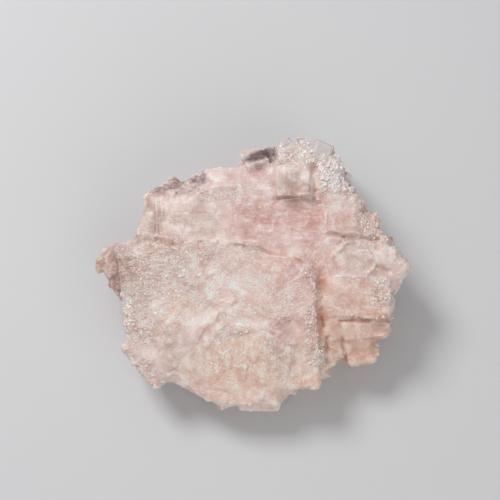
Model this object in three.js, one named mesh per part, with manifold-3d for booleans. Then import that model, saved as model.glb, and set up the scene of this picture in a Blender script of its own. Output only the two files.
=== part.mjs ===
// A pink halite specimen: a hand-sized cluster of intergrown salt cubes that broke off its bed as one
// piece. Millimetres, +Z up, origin on the resting face under the middle of the bounding box.
//
// The cubes grew outwards from one crust, so they are laid out in a growth frame: U runs to the right,
// V up the growth face and N out of it. The growth face leans back from vertical, facing -Y and up.
// Every cube is placed by the middle of its outer face, and reaches back from there into the cluster.
import * as THREE from "three";
import { mergeVertices } from "three/addons/utils/BufferGeometryUtils.js";
import Module from "manifold-3d";

const wasm = await Module();
wasm.setup();

const GROWTH_LEAN = 20; // degrees between the growth face's normal and straight up
const GROWTH_HEIGHT = 22; // the growth frame's origin above the resting face
const EDGE_WEAR = 0.07; // chamfer of a cube's dissolved edges, as a share of its shorter side
const MOST_WEAR = 0.9; // widest chamfer
const TERRACE_WIDTH = 1.7; // tread of one growth terrace
const TERRACE_RISE = 0.8; // riser of one growth terrace
const CRUST_SHARE = 0.8; // width of the crust that carries the cubes, as a share of the rim's
const CRUST_LEVEL = -2.5; // N of the crust's outer face
const CRUST_DEPTH = 60; // reaches below the resting face, where it is cut off

// The rim of the growth face as [u, v], anticlockwise from the left.
const RIM = [
  [-41, 0], [-39.6, -7.6], [-39, -19.8], [-37.8, -26.5], [-29.5, -32.5], [-19.5, -34.4],
  [-8.8, -38.4], [0.3, -40.6], [8.5, -37.5], [17.7, -32.9], [24.7, -27.1], [32.3, -26.5],
  [37.8, -21.3], [41, -13.1], [41.2, -4.6], [45, 0.9], [43, 6.7], [38.4, 15.2],
  [33.2, 21.3], [27.7, 30.5], [23.8, 37.5], [14.9, 40.4], [6.4, 38.4], [-3.3, 33.8],
  [-15.5, 31.2], [-23.1, 27.6], [-31.1, 24.5], [-34.4, 19.2], [-35, 12.5], [-40.2, 7.4],
];

// The larger cubes. at: middle of the outer face. size: along u, v and n before turning. turn: degrees
// about the cube's own u, v and n. terraces: growth steps on the outer face, gathered towards lean.
const CUBES = {
  frontLeft: { at: [-26.2, -7.6, 6.8], size: [26.8, 36.5, 16], turn: [2, -3, 7], terraces: 1, lean: [1, -1] },
  frontMiddle: { at: [-4.9, -12.5, 7.2], size: [37, 38, 20], turn: [1, 1, -11] },
  frontRight: { at: [9.6, -15.4, 7.4], size: [17, 38, 18], turn: [-1, 4, 3] },
  frontFan: { at: [4.4, -11.6, 8], size: [4.6, 13, 10], turn: [-2, 5, 34] },
  veinRidge: { at: [17.6, -17.5, 7.2], size: [3.4, 33, 12], turn: [0, 8, 3] },
  bottomMiddle: { at: [-1.2, -30.2, 7], size: [18.6, 19, 16], turn: [7, 0, -2], terraces: 1, lean: [0.5, 0] },
  bottomToe: { at: [1.8, -38.3, 4.4], size: [12.6, 6.2, 12], turn: [12, 4, -1] },
  bottomHeel: { at: [4.6, -35.6, 5], size: [7, 8.2, 12], turn: [6, -5, 1] },
  lowerLeft: { at: [-24.3, -18.9, 6.3], size: [17.4, 29, 14], turn: [3, 0, -49] },
  lowerLeftFace: { at: [-23.4, -16.8, 7.7], size: [13.2, 27, 14], turn: [2, -1, -39] },
  lowerLeftTip: { at: [-29.8, -30, 3.6], size: [6, 7, 10], turn: [8, 3, 38] },
  lowerSlope: { at: [-14, -27, 6.9], size: [20, 20.4, 14], turn: [10, -2, -26], terraces: 1, lean: [0, 1] },
  lowerChip: { at: [-10.2, -35.4, 3.6], size: [7, 5, 10], turn: [16, 6, -24] },
  rightSlope: { at: [11.2, -23.2, 6.5], size: [19.6, 18, 14], turn: [10, 6, 35], terraces: 1, lean: [0, 1] },
  rightSlopeStep: { at: [20.6, -25.4, 3.6], size: [9, 7.5, 12], turn: [9, 8, 30] },
  tanBlock: { at: [32.7, -22.3, 2.4], size: [9.4, 11, 13], turn: [10, 6, 9] },
  tanLedge: { at: [30.6, -15.4, 3.8], size: [20.6, 9.4, 14], turn: [5, 4, 4] },
  tanFill: { at: [25.8, -21.2, 2.8], size: [8.4, 8.6, 11], turn: [7, 4, 10] },
  tanEnd: { at: [38.6, -15.2, 2], size: [6, 5.6, 10], turn: [3, 8, 17] },
  rightBlock: { at: [30.2, -6.6, 5.6], size: [22.4, 13.4, 16], turn: [2, 4, -1], terraces: 2, lean: [1, 0.6] },
  rightCorner: { at: [37, -9.8, 5.6], size: [8.4, 6.4, 12], turn: [-3, 5, 2] },
  rightSquare: { at: [31.3, 5.1, 5.2], size: [10.4, 10.2, 14], turn: [-4, 3, 22], terraces: 1, lean: [0.4, -1] },
  rightTip: { at: [41.3, 2.4, 3.8], size: [12.2, 10, 13], turn: [-6, 10, -43], terraces: 1, lean: [-1, 0] },
  rightTipToe: { at: [42.6, -1.4, 0.2], size: [4.6, 5, 9], turn: [4, 6, 8] },
  rightSlab: { at: [26.8, 17.8, 5.4], size: [12, 13.4, 14], turn: [-3, 7, -5], terraces: 1, lean: [-1, 0] },
  rightKnob: { at: [34.8, 14.6, 3.6], size: [7.8, 8, 12], turn: [-8, 9, 5], terraces: 1 },
  ridge: { at: [23.8, 25.2, 5], size: [17.4, 10.6, 15], turn: [-6, 3, -58], terraces: 1, lean: [0, -1] },
  ridgeTop: { at: [22.6, 32.6, 5], size: [7.4, 8.6, 12], turn: [-7, 6, -12], terraces: 1 },
  crown: { at: [11.9, 28.6, 6.6], size: [10.6, 12.8, 14], turn: [-2, -3, 4], terraces: 1, lean: [-0.4, -1] },
  crownTop: { at: [13.2, 37, 4.4], size: [13, 7.6, 12], turn: [-12, 2, 2], terraces: 1, lean: [0, -1] },
  clearLeft: { at: [9.9, 38.6, 0], size: [5.2, 5, 9], turn: [-10, 0, 38] },
  clearMiddle: { at: [17.8, 38.9, 0.4], size: [5.4, 5, 9], turn: [-9, 3, 8] },
  clearRight: { at: [20.8, 37.3, 1.4], size: [5.4, 7, 9], turn: [-8, 8, -22] },
  backSlab: { at: [2, 28.4, 4.6], size: [11.6, 11.4, 14], turn: [-4, 2, 0], terraces: 2, lean: [-0.5, -1] },
  backLedge: { at: [-9, 29.2, 4.2], size: [13, 8, 13], turn: [-9, 0, 5], terraces: 2, lean: [1, -1] },
  backBand: { at: [-24.2, 23, 3.6], size: [15, 9, 12], turn: [-12, -6, 17], terraces: 1, lean: [1, -1] },
  backFill: { at: [-11, 24, 4.6], size: [20, 8, 12], turn: [-5, 0, 6], terraces: 1, lean: [0, -1] },
  upperLeft: { at: [-18.2, 17.2, 6.3], size: [22.4, 13.6, 14], turn: [-3, -2, 0], terraces: 2, lean: [1, 0.6] },
  shoulder: { at: [-30.4, 17.2, 2.4], size: [8.6, 14, 12], turn: [-3, -16, -15] },
  notchSpur: { at: [-22.6, 10.4, 4.4], size: [4.4, 6.4, 9], turn: [4, -4, -9] },
  leftArm: { at: [-32.4, 8, 2.8], size: [17, 8.6, 12], turn: [-7, -6, 22], terraces: 1, lean: [1, -1] },
  leftTip: { at: [-43.4, 3.6, 0], size: [8, 7.6, 10], turn: [-3, -9, 36] },
  leftToe: { at: [-41.2, -2, -1], size: [5.6, 6.2, 9], turn: [2, -8, 20] },
  recess: { at: [7.2, 18.6, 4.5], size: [32, 12, 12], turn: [3, 1, 0], terraces: 1, lean: [-1, 1] },
  recessStep: { at: [-0.6, 11, 5.5], size: [29, 9.4, 12], turn: [3, 0, -9] },
  gapFill: { at: [18.8, 7, 4.5], size: [15.6, 18, 12], turn: [2, 3, -24] },
  rightFill: { at: [29.6, 5.8, 3.9], size: [21, 16, 12], turn: [0, 2, -8] },
  gapKnob: { at: [12.6, 7.2, 6], size: [3.2, 2.4, 6], turn: [4, -6, 12] },
  frontStep: { at: [-11.5, 10.6, 6.6], size: [17, 6, 10], turn: [1, 0, -4] },
  innerStep: { at: [-5.6, 19, 5.7], size: [7, 10, 10], turn: [1, 3, 2] },
  veinStep: { at: [20.8, -9, 5], size: [7, 24, 10], turn: [0, 5, 2] },
};

// Rings of cubes that cover the sides, from the growth face down to the resting face.
const FLANK_LEVELS = [-4, -12, -20, -28, -36]; // N of each ring's outer faces
const FLANK_COUNT = 20; // cubes in a full ring
const FLANK_SIZE = [7.5, 16];
const FLANK_DEPTH = 13;
const FLANK_TURN = 17; // most degrees that a flank cube is turned each way
const FLANK_LOWEST = 1.5; // cubes whose outer face is lower than this are left out
const FLANK_INSET = [0.56, 0.68]; // from the rim to a flank cube's middle, as a share of its width
const FLANK_SCATTER = [-2, 2]; // how far a flank cube is moved off its ring's level

// Rows of small cubes along broken edges: where each row runs, how many cubes and how wide they are.
const ROWS = [
  { from: [23.4, 33.4, 2.8], to: [30.2, 20.2, 2.2], count: 9, size: [2.4, 4.2] },
  { from: [32, 18.8, 1.2], to: [37.4, 12.2, 0.8], count: 5, size: [2.6, 4.4] },
  { from: [38, 9, 1], to: [44.8, 3.6, 0.4], count: 5, size: [2.2, 3.8] },
  { from: [-2.4, 32.6, -1.6], to: [6.4, 37.4, -0.6], count: 6, size: [2.6, 4] },
  { from: [-16.6, 28, -0.6], to: [-14.4, 29.4, -0.4], count: 2, size: [2.6, 3.4] },
  { from: [-28.8, 22.8, -0.8], to: [-18.4, 26, -0.6], count: 7, size: [2, 3.2] },
  { from: [8.4, -35.4, 1], to: [19.8, -28.8, 0.4], count: 7, size: [2.2, 3.8] },
  { from: [-18.4, -33.8, 1.4], to: [-5.4, -37.4, 0.8], count: 6, size: [2.4, 3.8] },
];
const ROW_DEPTH = 7;
const ROW_TURN = 24; // most degrees that a small cube is turned each way
const ROW_STRETCH = [0.8, 1.2]; // height of a small cube, as a share of its width
const ROW_SEED = 500; // keeps the rows' spread of values apart from the flanks'
const ROW_SEED_STEP = 20;

const CLEARANCE_BOX = [200, 200, 100]; // holds everything that is above the resting face

// A repeatable spread of values from 0 to 1, one for each pair of whole numbers.
function spread(index, channel) {
  const wave = Math.sin(index * 12.9898 + channel * 78.233 + 4.1) * 43758.5453;
  return wave - Math.floor(wave);
}

function between([low, high], share) {
  return low + (high - low) * share;
}

function solidOf(geometry) {
  const bare = geometry.clone();
  bare.deleteAttribute("normal");
  bare.deleteAttribute("uv");
  const closed = mergeVertices(bare, 1e-3);
  const vertProperties = Float32Array.from(closed.attributes.position.array);
  const triVerts = Uint32Array.from(closed.index.array);
  return new wasm.Manifold(new wasm.Mesh({ numProp: 3, vertProperties, triVerts }));
}

function geometryOf(solid) {
  const { vertProperties, triVerts } = solid.getMesh();
  const geometry = new THREE.BufferGeometry();
  geometry.setAttribute("position", new THREE.BufferAttribute(vertProperties, 3));
  geometry.setIndex(new THREE.BufferAttribute(triVerts, 1));
  geometry.computeVertexNormals();
  return geometry;
}

// A block whose outer face is at the level given, with its body below it.
function sharpBlock(width, height, depth, centre, level) {
  return new THREE.BoxGeometry(width, height, depth).translate(...centre, level - depth / 2);
}

// The same block with all its edges cut off.
function wornBlock(width, height, depth, centre, level) {
  const wear = Math.min(MOST_WEAR, EDGE_WEAR * Math.min(width, height));
  const [x, y] = [width / 2, height / 2];
  const outline = [
    [wear - x, -y], [x - wear, -y], [x, wear - y], [x, y - wear],
    [x - wear, y], [wear - x, y], [-x, y - wear], [-x, wear - y],
  ];
  const shape = new THREE.Shape(outline.map(([u, v]) => new THREE.Vector2(u, v)));
  return new THREE.ExtrudeGeometry(shape, {
    depth: depth - 2 * wear,
    bevelThickness: wear,
    bevelSize: wear,
    bevelOffset: -wear,
    bevelSegments: 1,
  }).translate(...centre, level - depth + wear);
}

// One cube with its growth terraces, as a list of overlapping blocks in the growth frame.
function cubeBlocks({ at, size, turn, terraces = 0, lean = [0, 0], block = wornBlock }) {
  const [width, height, depth] = size;
  const place = new THREE.Matrix4().compose(
    new THREE.Vector3(...at),
    new THREE.Quaternion().setFromEuler(
      new THREE.Euler(...turn.map(THREE.MathUtils.degToRad), "ZYX"),
    ),
    new THREE.Vector3(1, 1, 1),
  );
  const foot = block(width, height, depth, [0, 0], -terraces * TERRACE_RISE);
  const treads = Array.from({ length: terraces }, (_, step) => {
    const inset = (step + 1) * TERRACE_WIDTH;
    const centre = lean.map((share) => (share * inset) / 2);
    const level = (step + 1 - terraces) * TERRACE_RISE;
    return sharpBlock(width - inset, height - inset, depth / 2, centre, level);
  });
  return [foot, ...treads].map((piece) => piece.applyMatrix4(place));
}

const rim = new THREE.CatmullRomCurve3(
  RIM.map(([u, v]) => new THREE.Vector3(u, v, 0)),
  true,
  "centripetal",
);

// A point the given way in from the rim, at a share of the way round it.
function insideRim(share, inset) {
  const tangent = rim.getTangentAt(share);
  return rim.getPointAt(share).add(new THREE.Vector3(-tangent.y, tangent.x, 0).setLength(inset));
}

function crust() {
  const shape = new THREE.Shape(RIM.map(([u, v]) => new THREE.Vector2(u, v)));
  return new THREE.ExtrudeGeometry(shape, { depth: CRUST_DEPTH, bevelEnabled: false })
    .scale(CRUST_SHARE, CRUST_SHARE, 1)
    .translate(0, 0, CRUST_LEVEL - CRUST_DEPTH);
}

const growthFrame = new THREE.Matrix4()
  .makeTranslation(0, 0, GROWTH_HEIGHT)
  .multiply(new THREE.Matrix4().makeRotationX(THREE.MathUtils.degToRad(GROWTH_LEAN)));

function flankCubes() {
  const cubes = [];
  FLANK_LEVELS.forEach((level, ring) => {
    for (let i = 0; i < FLANK_COUNT; i++) {
      const seed = ring * FLANK_COUNT + i;
      const width = between(FLANK_SIZE, spread(seed, 1));
      const height = between(FLANK_SIZE, spread(seed, 2));
      const share = ((i + 0.5 * (ring % 2) + 0.3 * spread(seed, 3)) / FLANK_COUNT) % 1;
      const spot = insideRim(share, Math.max(width, height) * between(FLANK_INSET, spread(seed, 4)));
      spot.z = level + between(FLANK_SCATTER, spread(seed, 5));
      if (spot.clone().applyMatrix4(growthFrame).z < FLANK_LOWEST) continue;
      const turn = [6, 7, 8].map((k) => between([-FLANK_TURN, FLANK_TURN], spread(seed, k)));
      cubes.push({
        at: spot.toArray(),
        size: [width, height, FLANK_DEPTH],
        turn,
        block: sharpBlock,
      });
    }
  });
  return cubes;
}

function rowCubes({ from, to, count, size }, row) {
  const line = new THREE.LineCurve3(new THREE.Vector3(...from), new THREE.Vector3(...to));
  return Array.from({ length: count }, (_, i) => {
    const seed = ROW_SEED + ROW_SEED_STEP * row + i;
    const width = between(size, spread(seed, 1));
    return {
      at: line.getPoint(i / (count - 1)).toArray(),
      size: [width, width * between(ROW_STRETCH, spread(seed, 2)), ROW_DEPTH],
      turn: [3, 4, 5].map((k) => between([-ROW_TURN, ROW_TURN], spread(seed, k))),
      block: sharpBlock,
    };
  });
}

// Joins the crust and every cube, and cuts the cluster off flat where it rests. Only the outer skin is
// kept, so that a pocket sealed in between cubes is filled with salt.
function clusterSolid() {
  const cubes = [...Object.values(CUBES), ...flankCubes(), ...ROWS.flatMap(rowCubes)];
  const pieces = [crust(), ...cubes.flatMap(cubeBlocks)];
  const joined = wasm.Manifold.union(
    pieces.map((piece) => solidOf(piece.applyMatrix4(growthFrame))),
  );
  const [, , height] = CLEARANCE_BOX;
  const above = new THREE.BoxGeometry(...CLEARANCE_BOX).translate(0, 0, height / 2);
  const skins = joined.intersect(solidOf(above)).decompose();
  return skins.sort((a, b) => b.volume() - a.volume())[0];
}

const geometry = geometryOf(clusterSolid());
geometry.computeBoundingBox();
const middle = geometry.boundingBox.getCenter(new THREE.Vector3());
geometry.translate(-middle.x, -middle.y, -geometry.boundingBox.min.z);

const cluster = new THREE.Mesh(
  geometry,
  new THREE.MeshStandardMaterial({ color: 0xd9bdb4, roughness: 0.5, metalness: 0 }),
);
cluster.name = "halite_cluster";

const specimen = new THREE.Group();
specimen.add(cluster);
export default specimen;
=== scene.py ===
"""A pink halite specimen: intergrown salt cubes with terraces, sugary crusts and a few clear crystals.

The cubes grew outwards from one crust, so places on the growth face are given in its own frame, in
millimetres: U to the right, V up the face and N out of it, as in the part's construction.
"""

import itertools
import math
from collections import namedtuple

import bmesh
import bpy
import numpy as np
from mathutils import Euler, Matrix, Vector
from mathutils.bvhtree import BVHTree


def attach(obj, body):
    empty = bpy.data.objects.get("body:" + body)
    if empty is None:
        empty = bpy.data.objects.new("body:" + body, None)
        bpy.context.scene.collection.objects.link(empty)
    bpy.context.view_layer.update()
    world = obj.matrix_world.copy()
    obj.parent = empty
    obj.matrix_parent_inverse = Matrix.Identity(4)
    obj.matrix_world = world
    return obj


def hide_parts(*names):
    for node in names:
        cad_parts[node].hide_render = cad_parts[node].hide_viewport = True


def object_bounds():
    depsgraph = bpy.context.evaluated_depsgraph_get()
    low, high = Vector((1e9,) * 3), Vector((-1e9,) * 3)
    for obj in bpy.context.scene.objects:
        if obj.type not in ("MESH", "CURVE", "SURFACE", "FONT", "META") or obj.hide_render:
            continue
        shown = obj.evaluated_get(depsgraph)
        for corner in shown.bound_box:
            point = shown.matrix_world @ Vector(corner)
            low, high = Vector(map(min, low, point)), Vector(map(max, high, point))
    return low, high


bl_info = {
    "name": "Pink halite cluster",
    "version": (1, 0, 0),
    "blender": (4, 5, 0),
    "location": "3D View > Sidebar > Halite",
    "description": "Grows a pink halite specimen's surface, sugary crust and clear crystals",
    "category": "Object",
}

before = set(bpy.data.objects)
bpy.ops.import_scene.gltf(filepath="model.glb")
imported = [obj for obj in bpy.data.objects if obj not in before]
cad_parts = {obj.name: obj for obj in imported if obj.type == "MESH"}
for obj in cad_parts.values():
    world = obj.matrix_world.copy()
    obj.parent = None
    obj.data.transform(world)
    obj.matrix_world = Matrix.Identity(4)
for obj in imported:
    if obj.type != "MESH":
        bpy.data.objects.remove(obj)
cad_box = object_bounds()

NODE = "halite_cluster"
BODY = "root"

MM = 0.001
GROWTH_LEAN = math.radians(20)
GROWTH_OFFSET = Vector((0.1, -4.9, 22)) * MM  # the growth frame's origin, from the middle of the base
FRONT_REACH = 60  # above every crystal, where rays towards the growth face start
PATCH_FLOOR = -9  # N under which the growth face's patches don't reach
FLOOR_FADE = 3  # height over which they fade in above it
PATCH_END = 1.25  # where a patch has faded out, as a share of its half size
PATCH_FADE = 0.4  # share of its half size over which it fades
TABLE_SIZE = 32  # random values along each side of a noise table
BATCH = 100  # cubes made in one go
FLANK_CELL = np.array((2.6, 1.9, 2.2))  # size of a growth step outside the patches
FLANK_RELIEF = 0.14
FIBRE_RELIEF = 0.03
FACET = np.array((8, 5.5, 5))  # size of the facets that differ in tint and in the run of their lines
FLANK_SWELL = 0.9  # height in millimetres of the broad unevenness of the flanks
FLANK_FADE = 4  # depth along N over which that unevenness starts, below the growth face
RIM_DEPTH = -5  # N above which only small cubes grow on the sides

Patch = namedtuple("Patch", "at half turn kind")
Kind = namedtuple("Kind", "cell relief density width stretch rise tilt sugar fibre fan")

# Ways in which the salt grew. cell: size of a growth step along the patch. relief: height of the steps.
# density: small cubes to a square millimetre. width: of those cubes. stretch: their length along the
# patch. rise: how far they stand out, as a share of their width. tilt: most degrees that they are turned
# each way. sugar: share of loose sugary crystals. fibre: strength of the fine lines along the patch.
# fan: most degrees that a facet's lines are turned from the patch's own.
KINDS = {
    "crust": Kind((0.9, 0.9), 0.22, 0.5, (0.6, 1.5), 1.0, (0.05, 0.35), 16, 1.0, 0.0, 10),
    "beads": Kind((1.3, 1.2), 0.26, 0.5, (1.1, 2.4), 1.1, (0.1, 0.45), 18, 0.12, 0.0, 10),
    "sugar": Kind((1.1, 0.9), 0.07, 0.03, (0.5, 1.1), 1.2, (0.0, 0.2), 8, 0.6, 0.35, 8),
    "fibres": Kind((5.5, 0.9), 0.045, 0.016, (0.4, 0.8), 6.0, (0.0, 0.2), 4, 0.3, 1.0, 5),
    "striae": Kind((8.0, 1.1), 0.07, 0.014, (0.5, 1.0), 7.0, (0.0, 0.2), 3, 0.15, 0.7, 3),
    "plates": Kind((4.6, 3.6), 0.1, 0.014, (1.8, 4.2), 1.5, (0.0, 0.04), 3, 0.2, 0.35, 4),
    "waxy": Kind((9.0, 8.0), 0.04, 0.003, (2.0, 4.0), 1.4, (0.0, 0.02), 3, 0.03, 0.3, 6),
}

# Patches of the growth face. at: middle as [u, v]. half: half its length and width. turn: degrees.
PATCHES = {
    "front_upper_left": Patch((-29.4, -0.8), (10, 6.5), 7, "sugar"),
    "front_left_edge": Patch((-37.8, -6.4), (1.6, 10), 6, "crust"),
    "front_left_pits": Patch((-34.4, -14.5), (3.6, 6.5), 7, "sugar"),
    "front_fan": Patch((-25.4, -9.4), (8, 7), 45, "fibres"),
    "front_spray": Patch((-15.5, -2.7), (6, 5.5), 62, "fibres"),
    "front_centre": Patch((-3.4, -0.6), (8.5, 6.6), -35, "fibres"),
    "front_right": Patch((9, -5), (6.6, 8), 30, "fibres"),
    "front_top": Patch((-10, 6.5), (12, 2.2), 4, "sugar"),
    "front_glow": Patch((-16.4, -12.6), (5.5, 4), 45, "waxy"),
    "front_wedge": Patch((0.9, -12), (6.5, 4.5), -28, "fibres"),
    "front_band": Patch((-1.8, -16), (8, 1.6), 8, "sugar"),
    "front_rose": Patch((10.4, -15.6), (4.4, 3.8), 0, "waxy"),
    "front_columns": Patch((0.5, -24.4), (6.4, 14), 86, "fibres"),
    "lower_left_face": Patch((-21, -20.5), (9.5, 11), -49, "waxy"),
    "lower_left_rim": Patch((-28.6, -29.4), (6, 1.6), -46, "sugar"),
    "lower_slope": Patch((-9.4, -33), (11, 5), -24, "striae"),
    "toe": Patch((3, -37), (4.6, 5.4), 88, "striae"),
    "vein": Patch((17, -10.6), (1.8, 13), 3, "crust"),
    "vein_foot": Patch((19, -24.4), (2.2, 2.4), 0, "crust"),
    "right_slope": Patch((16, -29), (7.5, 5), 35, "striae"),
    "right_slope_rim": Patch((18.4, -30.6), (6, 1.2), 33, "crust"),
    "right_block": Patch((27.6, -6.4), (8, 6), -1, "plates"),
    "right_block_corner": Patch((37.4, -5.2), (3.2, 3.6), 2, "crust"),
    "right_block_line": Patch((33.6, -12.6), (6, 0.8), -1, "crust"),
    "tan_ledge": Patch((29.8, -16), (10.4, 2.8), 4, "waxy"),
    "tan_block": Patch((32.2, -22.8), (5.6, 5), 9, "waxy"),
    "right_square": Patch((31, 5.2), (5.8, 5.6), 22, "plates"),
    "right_tip": Patch((41, 3), (5.6, 5), -43, "plates"),
    "right_tip_rim": Patch((42.6, 7.2), (6, 1.5), -41, "crust"),
    "right_slab": Patch((26.4, 17.8), (5.4, 6), -5, "plates"),
    "right_knob": Patch((34.8, 15), (4.8, 4.6), -28, "crust"),
    "ridge": Patch((23.4, 30.6), (4, 8.6), 22, "crust"),
    "ridge_foot": Patch((28.2, 24), (3, 5.4), 30, "crust"),
    "crown_top": Patch((14, 36.8), (7.8, 3.4), 0, "crust"),
    "crown": Patch((11.9, 27.6), (5, 5.4), 92, "striae"),
    "groove": Patch((18.2, 29), (1.6, 6), 4, "striae"),
    "back_slab": Patch((1.8, 28.2), (5.4, 5.4), 0, "striae"),
    "back_ledge": Patch((-9.4, 29.6), (6.4, 3.2), 5, "striae"),
    "back_sugar": Patch((-9.7, 24.4), (7, 2.2), 4, "sugar"),
    "violet_band": Patch((-23.1, 25.8), (6.8, 2), 17, "beads"),
    "violet_knob": Patch((-17, 29.3), (2, 1.8), 10, "beads"),
    "violet_ridge": Patch((2.2, 35.2), (4.6, 2.2), 25, "beads"),
    "upper_left_striae": Patch((-28, 17), (6, 2), 88, "striae"),
    "upper_left_face": Patch((-18, 17.6), (8, 5.6), 0, "waxy"),
    "upper_left_edge": Patch((-8, 17), (6, 1.6), 91, "waxy"),
    "shoulder": Patch((-32.4, 17.6), (3, 6), -12, "waxy"),
    "notch_spur": Patch((-22.4, 10.6), (2, 3.6), -9, "sugar"),
    "rose_terraces": Patch((9, 16.6), (12, 7), -2, "striae"),
    "rose_steps": Patch((2.5, 9.4), (10, 3.6), -12, "waxy"),
    "gap_fan": Patch((20.4, 5.4), (8, 5.4), 62, "striae"),
    "left_arm": Patch((-35.3, 6.6), (6, 3.4), 22, "sugar"),
    "left_tip": Patch((-44, 2.6), (3.6, 4), 36, "plates"),
}

Rib = namedtuple("Rib", "start end width rise")
RIB_STEP = 2.6  # length of one block of a rib
RIB_LIFT = 0.2  # how much further every rib stands out than its own rise

# Straight raised lines of the growth face, from and to [u, v], built from short blocks.
RIBS = [
    Rib((-27.1, -16.7), (-18.9, -5.2), 1.2, 0.2),
    Rib((-31.7, -10.7), (-23.1, -5.2), 1.4, 0.2),
    Rib((-20.1, -4.0), (-17.8, -0.6), 0.6, 0.35),
    Rib((-17.7, -3.0), (-12.2, 0.9), 1.0, 0.25),
    Rib((-16.4, 0.9), (-11.9, -4.6), 1.0, 0.2),
    Rib((-11.4, -11.6), (-16.4, -18.8), 0.7, 0.3),
    Rib((-22.1, -26.0), (-25.0, -29.4), 0.7, 0.3),
    Rib((-0.6, -9.1), (5.2, -12.6), 0.8, 0.3),
    Rib((-2.4, -10.7), (6.7, -16.6), 1.6, 0.2),
    Rib((2.4, -7.0), (8.8, -14.3), 1.4, 0.15),
    Rib((-9.7, -16.7), (6.1, -14.6), 1.8, 0.22),
    Rib((-14.9, -21.3), (-8.8, -14.3), 1.2, 0.2),
    Rib((-2.9, -30.0), (-2.6, -22.4), 0.7, 0.35),
    Rib((2.4, -35.6), (3.7, -22.8), 1.2, 0.2),
    Rib((9.4, -29.5), (12.0, -18.7), 1.2, 0.2),
    Rib((-6.7, -7.6), (-14.9, -15.2), 1.4, 0.15),
    Rib((-29.4, 21.3), (-29.2, 12.1), 0.8, 1.1),
    Rib((-29.2, 11.7), (-24.4, 11.3), 0.6, 0.5),
    Rib((7.0, 31.6), (7.2, 23.8), 0.7, 0.4),
    Rib((7.2, 23.9), (17.2, 24.4), 0.7, 0.4),
    Rib((15.2, 24.6), (16.2, 31.0), 1.6, 0.25),
    Rib((-40.2, 5.6), (-24.6, 7.4), 1.2, 0.35),
    Rib((-19.5, 10.1), (-5.2, 9.9), 0.5, 0.15),
    Rib((-5.2, 9.9), (4.0, 6.4), 0.7, 0.25),
    Rib((4.0, 6.4), (13.4, 5.2), 0.8, 0.3),
    Rib((31.1, -12.9), (40.9, -12.9), 0.7, 0.7),
    Rib((31.1, -12.9), (31.1, -10.6), 0.7, 0.35),
    Rib((21.8, -12.0), (30.4, -11.6), 0.8, 0.2),
    Rib((26.0, -19.4), (38.8, -18.0), 0.8, 0.25),
    Rib((23.4, 5.4), (27.6, 9.9), 0.8, 0.7),
    Rib((27.6, 9.9), (32.2, 10.6), 0.8, 0.75),
    Rib((32.8, 9.8), (36.6, 3.4), 0.8, 0.6),
    Rib((36.4, 2.6), (33.6, 0.0), 0.7, 0.6),
    Rib((33.4, -0.4), (25.2, -0.2), 0.7, 0.5),
    Rib((21.6, 22.6), (21.4, 13.6), 0.6, 0.4),
    Rib((21.6, 22.8), (29.4, 23.6), 0.6, 0.25),
    Rib((-0.6, 12.8), (9.2, 13.6), 0.8, 0.3),
    Rib((-16.6, 31.6), (-4.0, 33.2), 0.7, 0.35),
    Rib((-16.2, 26.0), (-3.6, 27.2), 0.7, 0.25),
]

# Broad faces whose steps have dissolved until they are nearly flat: middle, half size and turn.
MELTED = [Patch(*row, "melted") for row in (
    ((-11, -4), (22, 11), -5),
    ((8, -1), (8, 5), -6),
    ((-13, -18), (22, 8), -4),
    ((-21, -19), (7.5, 11), -42),
    ((-4, -27), (13, 8), -8),
    ((10, -22), (7, 9), 8),
    ((-18, 17), (7.5, 4.6), 0),
    ((6, 14), (11, 6.4), -4),
    ((20.6, 6), (5.4, 6.4), -20),
    ((-33, 9), (6, 2.6), 20),
    ((29.6, -6.6), (7.6, 4.6), 0),
    ((30, -20), (6.4, 5), 6),
    ((6.6, 29), (2, 4.6), 0),
    ((-12, 10), (9, 3), 0),
    ((-8, 17), (4.4, 7.4), 0),
    ((-17, 23.6), (10, 2), 2),
    ((30.4, 5), (6.4, 6), 22),
    ((-27, 8), (4, 2.6), 10),
    ((21.6, 18), (1.6, 5.6), 0),
    ((-2, 29), (5, 4), 0),
)]
MELTING_ROUNDS = 130

Crease = namedtuple("Crease", "start end width depth")

CREASE_DEPTH = 1.7  # how deep the grooves are cut, as a share of their own depth

# Thin grooves of the growth face, from and to [u, v], in millimetres.
CREASES = [
    Crease((-11.6, -11.6), (-16.0, -18.8), 0.5, 0.16),
    Crease((-16.0, -18.8), (-22.0, -25.9), 0.5, 0.2),
    Crease((-22.0, -25.9), (-25.0, -29.2), 0.5, 0.24),
    Crease((-30.0, 11.0), (-23.6, 9.4), 0.6, 0.7),
    Crease((-22.0, 8.0), (-20.0, 15.4), 0.5, 0.2),
    Crease((20.1, 1.0), (20.6, -16.4), 1.0, 0.35),
    Crease((20.4, -12.2), (20.7, -15.2), 0.6, 0.7),
    Crease((18.0, 33.0), (18.6, 25.4), 0.8, 0.45),
    Crease((6.6, 22.6), (17.6, 23.0), 0.9, 0.6),
    Crease((26.0, -13.4), (41.0, -13.7), 0.5, 0.6),
    Crease((22.4, -26.0), (22.0, -19.0), 0.8, 0.7),
    Crease((27.0, -19.0), (27.4, -27.0), 0.5, 0.5),
    Crease((-5.0, 9.2), (14.0, 4.4), 0.6, 0.4),
    Crease((23.0, 11.8), (37.4, 10.8), 0.8, 0.6),
    Crease((35.6, 3.6), (40.6, 1.4), 0.8, 0.6),
]

Zone = namedtuple("Zone", "colour at half strength depth", defaults=(30,))

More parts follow.
